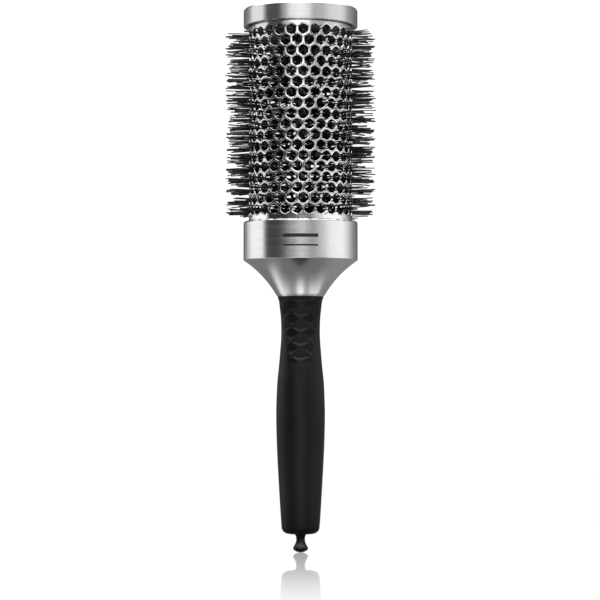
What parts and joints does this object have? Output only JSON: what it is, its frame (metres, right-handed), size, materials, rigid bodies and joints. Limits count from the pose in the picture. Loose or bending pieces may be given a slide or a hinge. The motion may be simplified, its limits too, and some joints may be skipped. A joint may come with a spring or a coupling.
{
  "type": "round barrel brush",
  "caption": "Round hair brush with a vented metal barrel, radial nylon bristles, a metal collar, a soft-grip handle and a pull-out sectioning pick.",
  "frame": {"origin": "lowest point of the pick's knob, on the brush's axis", "axes": "+Z along the brush's axis from the handle to the barrel; -Y is the front"},
  "size_m": [0.0658, 0.0658, 0.2358],
  "materials": {
    "barrel_metal": "polished, with a fine turned grain",
    "trim_metal": "satin anodised silver",
    "twisted_wire": "drawn wire",
    "inner_plastic": "matte black",
    "bristle_nylon": "black nylon filament",
    "soft_grip": "matte black soft-touch",
    "pick_plastic": "gloss black"
  },
  "bodies": {
    "brush": {"barrel_tube": "barrel_metal", "end_ring": "trim_metal", "end_grille": "inner_plastic", "collar": "trim_metal", "barrel_seat": "inner_plastic", "core_wire_1": "twisted_wire", "core_wire_2": "twisted_wire", "bristle_row_01": "bristle_nylon", "bristle_row_02": "bristle_nylon", "bristle_row_03": "bristle_nylon", "bristle_row_04": "bristle_nylon", "bristle_row_05": "bristle_nylon", "bristle_row_06": "bristle_nylon", "bristle_row_07": "bristle_nylon", "bristle_row_08": "bristle_nylon", "bristle_row_09": "bristle_nylon", "bristle_row_10": "bristle_nylon", "bristle_row_11": "bristle_nylon", "bristle_row_12": "bristle_nylon", "bristle_row_13": "bristle_nylon", "bristle_row_14": "bristle_nylon", "bristle_row_15": "bristle_nylon", "bristle_row_16": "bristle_nylon", "bristle_row_17": "bristle_nylon", "bristle_row_18": "bristle_nylon", "handle_core": "inner_plastic", "handle_grip": "soft_grip", "pick_bush": "inner_plastic"},
    "pick": {"sectioning_pick": "pick_plastic"}
  },
  "joints": [
    {"name": "pick_slide", "type": "slide", "parent": "brush", "child": "pick", "axis": [0, 0, -1], "range_m": [0, 0.078]}
  ]
}
